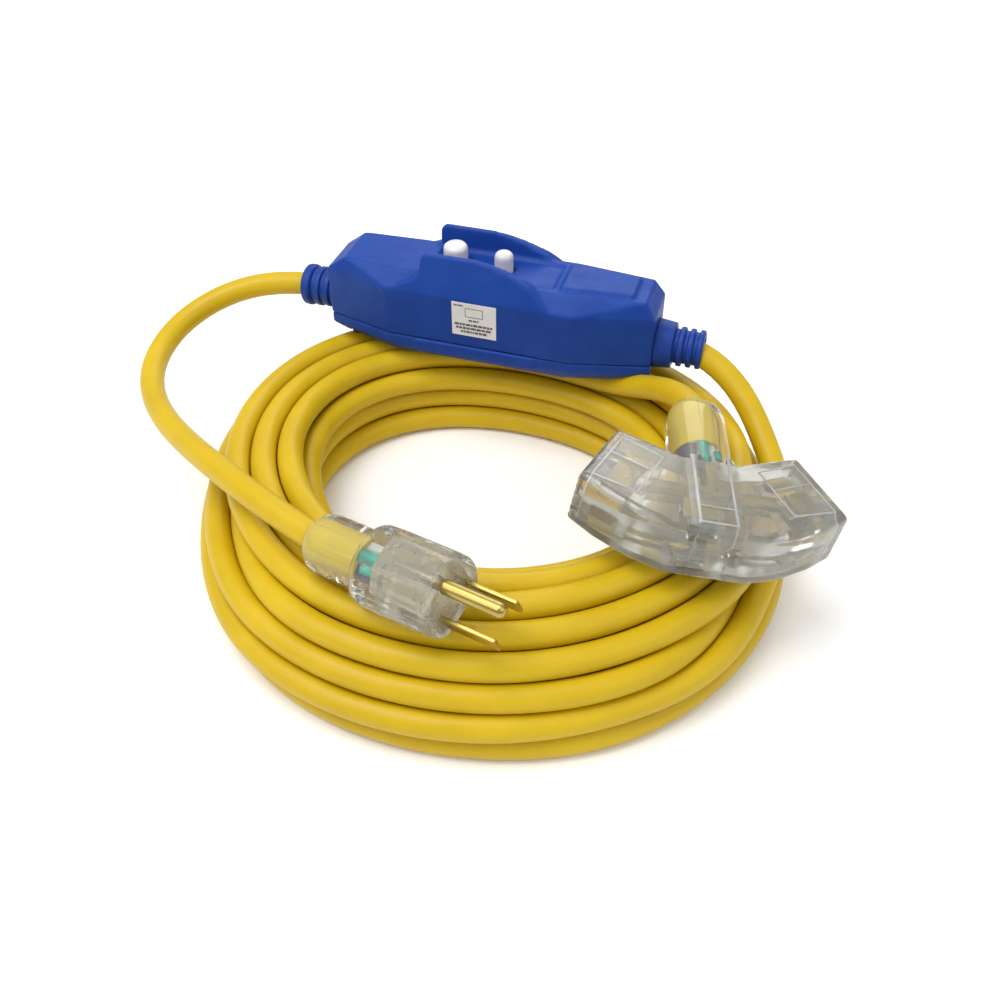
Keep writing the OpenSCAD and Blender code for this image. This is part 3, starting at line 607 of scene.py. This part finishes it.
def prism(poly, z0, z1, taper=0.0, rise=0.0):
    """Closed prism on a plan; its top and bottom edges are drawn in by taper over the height rise."""
    poly = np.asarray(poly, float)
    c = poly.mean(0)
    n = len(poly)
    # inward offset of each corner along its bisector
    ins = []
    area2 = sum(poly[i][0] * poly[(i + 1) % n][1] - poly[(i + 1) % n][0] * poly[i][1] for i in range(n))
    sgn = 1 if area2 > 0 else -1
    for i in range(n):
        a, b, d = poly[i - 1], poly[i], poly[(i + 1) % n]
        e1, e2 = (b - a) / np.linalg.norm(b - a), (d - b) / np.linalg.norm(d - b)
        n1, n2 = sgn * np.array([-e1[1], e1[0]]), sgn * np.array([-e2[1], e2[0]])
        m = n1 + n2
        m /= max(np.linalg.norm(m), 1e-6)
        ins.append(b + m * taper / max(m @ n1, 0.5))
    ins = np.array(ins)
    levels = [(z0, ins), (z0 + rise, poly), (z1 - rise, poly), (z1, ins)] if taper else [(z0, poly), (z1, poly)]
    V = [(x, y, z) for z, P in levels for x, y in P]
    F = ring_faces(len(levels), n)
    return V, F


def tap_shell():
    """Fan with three outlet faces and a collar round the cord, moulded in one, with its slots and round holes."""
    parts = []
    left = [(-8.6, 12.5), (-29.3, 21.3), (-41.9, -4), (-34.2, -10.7), (-24, -17.2), (-13, -21.5)]
    plan = left + [(-x, y) for x, y in reversed(left)]
    parts.append(prism(plan, -10, 10, 1.6, 1.4))
    # a spine from the collar down the middle
    parts.append(prism([(-7.4, 14), (-7.4, -20), (7.4, -20), (7.4, 14)], -10.5, 10.5, 0.8, 0.8))
    # collar: oval, narrowing to the cord
    sides = 64
    V = []
    prof = [(10.0, 8.8, 8.4), (14.0, 9.3, 8.6), (24.0, 9.9, 8.8), (33.0, 9.9, 8.8), (40.0, 9.8, 8.7), (44.0, 9.4, 8.4), (46.4, 8.4, 7.8), (48.0, 7.0, 6.9), (48.7, 6.0, 6.0)]
    for v, a, b in prof:
        for k in range(sides):
            t = 2 * math.pi * k / sides
            e = 2.0 / 2.7
            V.append((a * math.copysign(abs(math.cos(t)) ** e, math.cos(t)), v, b * math.copysign(abs(math.sin(t)) ** e, math.sin(t))))
    parts.append((V, ring_faces(len(prof), sides)))
    verts, faces, at = [], [], 0
    for V, F in parts:
        verts += list(V)
        faces += [tuple(k + at for k in f) for f in F]
        at += len(V)
    o = add_mesh("tap_moulding", world(TAP_P, TAP_R, verts), faces, M["clear"])
    bm = bmesh.new()
    bm.from_mesh(o.data)
    done = set()
    bm.faces.ensure_lookup_table()
    for f in bm.faces:  # each closed piece faces outward
        if f.index in done:
            continue
        stack, piece = [f], []
        while stack:
            g = stack.pop()
            if g.index in done:
                continue
            done.add(g.index)
            piece.append(g)
            stack += [h for e in g.edges for h in e.link_faces if h.index not in done]
        bmesh.ops.recalc_face_normals(bm, faces=piece)
    bm.to_mesh(o.data)
    bm.free()
    cut_v, cut_f, at = [], [], 0
    for i in range(3):
        boxes = []
        for z in (-6.35, 6.35):
            boxes.append([(x, y, w) for x in (-13, 2) for y in (-9.2, -0.8) for w in (z - 1, z + 1)])
        for c in boxes:
            P = outlet(i, c)
            F = [(0, 1, 3, 2), (4, 6, 7, 5), (0, 4, 5, 1), (2, 3, 7, 6), (0, 2, 6, 4), (1, 5, 7, 3)]
            cut_v += list(P)
            cut_f += [tuple(k + at for k in f) for f in F]
            at += 8
        n = 28
        P = outlet(i, [(x, 6.9 + 2.6 * math.cos(2 * math.pi * k / n), 2.6 * math.sin(2 * math.pi * k / n)) for x in (-13, 2) for k in range(n)])
        cut_v += list(P)
        cut_f += [tuple(k + at for k in f) for f in ring_faces(2, n)]
        at += 2 * n
    cut = add_mesh("tap_cut", world(TAP_P, TAP_R, cut_v), cut_f, M["clear"])
    bm = bmesh.new()
    bm.from_mesh(cut.data)
    bmesh.ops.recalc_face_normals(bm, faces=bm.faces)
    bm.to_mesh(cut.data)
    bm.free()
    r = o.modifiers.new("join", "REMESH")
    r.mode = "VOXEL"
    r.voxel_size = 0.5 * MM
    r.use_smooth_shade = True
    k = o.modifiers.new("soften", "SMOOTH")
    k.factor = 0.5
    k.iterations = 12
    b = o.modifiers.new("slots", "BOOLEAN")
    b.operation = "DIFFERENCE"
    b.solver = "EXACT"
    b.object = cut
    dg = bpy.context.evaluated_depsgraph_get()
    dg.update()
    me = bpy.data.meshes.new_from_object(o.evaluated_get(dg), depsgraph=dg)
    o.modifiers.clear()
    o.data = me
    me.materials.clear()
    me.materials.append(M["clear"])
    me.polygons.foreach_set("material_index", [0] * len(me.polygons))
    me.polygons.foreach_set("use_smooth", [True] * len(me.polygons))
    bpy.data.objects.remove(cut)
    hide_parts("tap_body", "tap_collar")
    return o


def tap_edge_highlights():
    """Pale milky bars along the carrier's moulded edges: painted highlights standing in for the light those edges
    catch.
    """
    V, F, at = [], [], 0

    def bar(a, b, r=0.42, n=8):
        nonlocal at
        a, b = np.array(a, float), np.array(b, float)
        d = (b - a) / np.linalg.norm(b - a)
        h = np.array([0, 0, 1.0]) if abs(d[2]) < 0.8 else np.array([1.0, 0, 0])
        p = np.cross(d, h)
        p /= np.linalg.norm(p)
        q = np.cross(d, p)
        for c in (a, b):
            for k in range(n):
                t = 2 * math.pi * k / n
                V.append(c + r * (p * math.cos(t) + q * math.sin(t)))
        F.extend([tuple(k + at for k in f) for f in ring_faces(2, n)])
        at += 2 * n

    # pale bars along the carrier's edges, painted highlights
    for x in (-5.6, 5.6):
        bar((x, 14, 8.6), (x, -16.5, 8.6))
        bar((x, -16.5, 8.6), (x, -16.5, -6.5), 0.35)
    bar((-5.6, -9.5, 8.6), (5.6, -9.5, 8.6), 0.3)
    bar((-5.6, -16.5, 8.6), (5.6, -16.5, 8.6), 0.35)
    for i in (1, 2):
        c = [outlet(i, (x, y, 8.5)) for x, y in ((-3.2, -11), (-3.2, 11), (-17.5, 10.5), (-17.5, -9.5))]
        for a, b in zip(c, c[1:] + c[:1]):
            bar(a, b, 0.36)
        d = [outlet(i, (x, y, 8.5)) for x, y in ((-3.2, 2.2), (-17.5, 2.2))]
        bar(d[0], d[1], 0.3)
        for k in (0, 1):
            low = np.array(c[k])
            low[2] = -6.5
            bar(c[k], low, 0.33)
    o = add_mesh("tap_edge_highlights", world(TAP_P, TAP_R, V), F, M["rib"])
    return o


plug_moulding = plug_shell()
tap_moulding = tap_shell()
tap_highlight_lines = tap_edge_highlights()


# ---------------------------------------------------------------- print on the rating label
def label_print():
    rng = np.random.default_rng(7)
    V, F, at = [], [], 0
    v0, v1 = -18.25, -18.31

    def dash(u0, u1, w0, w1):
        nonlocal at
        V.extend([(u, v, w) for u in (u0, u1) for v in (v0, v1) for w in (w0, w1)])
        F.extend([tuple(k + at for k in f) for f in [(0, 1, 3, 2), (4, 6, 7, 5), (0, 4, 5, 1), (2, 3, 7, 6), (0, 2, 6, 4), (1, 5, 7, 3)]])
        at += 8

    def row(u, end, w, h):
        while u < end - 0.5:
            step = min(float(rng.uniform(0.8, 2.3)), end - u)
            dash(u, u + step - 0.28, w - h / 2, w + h / 2)
            u += step

    row(-4.6, -0.6, 13.6, 0.55)
    for k, (a, b) in enumerate([(-4.4, 10.8), (-3.9, 10.4), (-2.0, 8.6)]):
        row(a, b, 5.6 - 1.55 * k, 0.9)
    row(1.2, 5.4, 7.6, 0.7)
    # a plain panel with a fine rule round it
    dash(-0.2, 6.8, 12.6, 12.8)
    dash(-0.2, 6.8, 9.0, 9.2)
    dash(-0.2, 0.0, 9.0, 12.8)
    dash(6.6, 6.8, 9.0, 12.8)
    return add_mesh("label_print", world(MOD_P, MOD_R, V), F, M["print"], smooth_shade=False)


label_print()

# ---------------------------------------------------------------- the two cords
def to_m(P):
    return (P + OFF) * MM


line_in = MOD_P + MOD_R @ np.array([-66, 0, 0.0])
plug_in = PLUG_P + PLUG_R @ np.array([-51.6, 0, 0.0])
lp = np.array(LINE, float)
line_route = catmull(np.vstack([[MOD_P + MOD_R @ np.array([-70, 0, 0.0])], [MOD_P + MOD_R @ np.array([-78, 0, 0.0])], lp[2:-1], [plug_in - PLUG_R[:, 0] * 2], [plug_in + PLUG_R[:, 0] * 0.8]]), 3.0)
line_route = smooth(line_route, 34)
load_in = MOD_P + MOD_R @ np.array([79, 0, 0.0])
load_full = np.vstack([[MOD_P + MOD_R @ np.array([80, 0, 0.0])], load_path[2:-1], [TAP_P + TAP_R @ np.array([0, 48.0, 0])]])
load_full = smooth(resample(load_full, 4.0), 3)
line_m, load_m = to_m(line_route), to_m(load_full)
line_piece = tube("line_lead", line_m, D / 2 * MM, 24, M["cord"])
load_piece = tube("load_cord", load_m, D / 2 * MM, 20, M["cord"])
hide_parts("line_cord")
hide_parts("load_cord_lead", "cord_coil", "tap_lead")
line_len = float(np.linalg.norm(np.diff(line_m, axis=0), axis=1).sum())
load_len = float(np.linalg.norm(np.diff(load_m, axis=0), axis=1).sum())
print("cord lengths", round(line_len, 3), round(load_len, 3))

# ---------------------------------------------------------------- light, floor
world_data = bpy.data.worlds.new("studio")
world_data.use_nodes = True
nt = world_data.node_tree
bg = nt.nodes["Background"]
co = node(nt, "ShaderNodeTexCoord")
sp = node(nt, "ShaderNodeSeparateXYZ")
nt.links.new(co.outputs["Generated"], sp.inputs[0])
rp = node(nt, "ShaderNodeValToRGB")
rp.color_ramp.elements[0].position = 0.0
rp.color_ramp.elements[0].color = (0.46, 0.46, 0.47, 1)
rp.color_ramp.elements[1].position = 0.55
rp.color_ramp.elements[1].color = (1, 1, 1, 1)
nt.links.new(sp.outputs["Z"], rp.inputs["Fac"])
nt.links.new(rp.outputs[0], bg.inputs["Color"])
bg.inputs["Strength"].default_value = 0.66
scene.world = world_data


def area(name, loc, target, size, power, size_y=None, color=(1, 1, 1)):
    d = bpy.data.lights.new(name, "AREA")
    d.energy = power
    d.size = size
    d.color = color
    if size_y:
        d.shape = "RECTANGLE"
        d.size_y = size_y
    o = bpy.data.objects.new(name, d)
    o.location = loc
    o.rotation_euler = (Vector(target) - Vector(loc)).to_track_quat("-Z", "Y").to_euler()
    scene.collection.objects.link(o)
    return o


area("key", (-0.30, -0.10, 1.0), (0, 0, 0.03), 0.6, 7.0)
area("fill", (0.8, -0.6, 0.8), (0, 0, 0.03), 0.8, 2.6)
area("rim", (0.2, 0.9, 0.7), (0, 0, 0.05), 0.6, 3.0)
area("left", (-0.8, -0.5, 0.8), (0, 0, 0.03), 0.6, 2.6)

fl = bpy.data.meshes.new("floor")
R0 = 3.0
fl.from_pydata([(-R0, -R0, 0), (R0, -R0, 0), (R0, R0, 0), (-R0, R0, 0)], [], [(0, 1, 2, 3)])
floor = bpy.data.objects.new("floor", fl)
scene.collection.objects.link(floor)
fl.materials.append(surface("pale_floor", (0.94, 0.94, 0.94), (0.965, 0.965, 0.965), (0.7, 0.85), scale=3, bump=0.02))
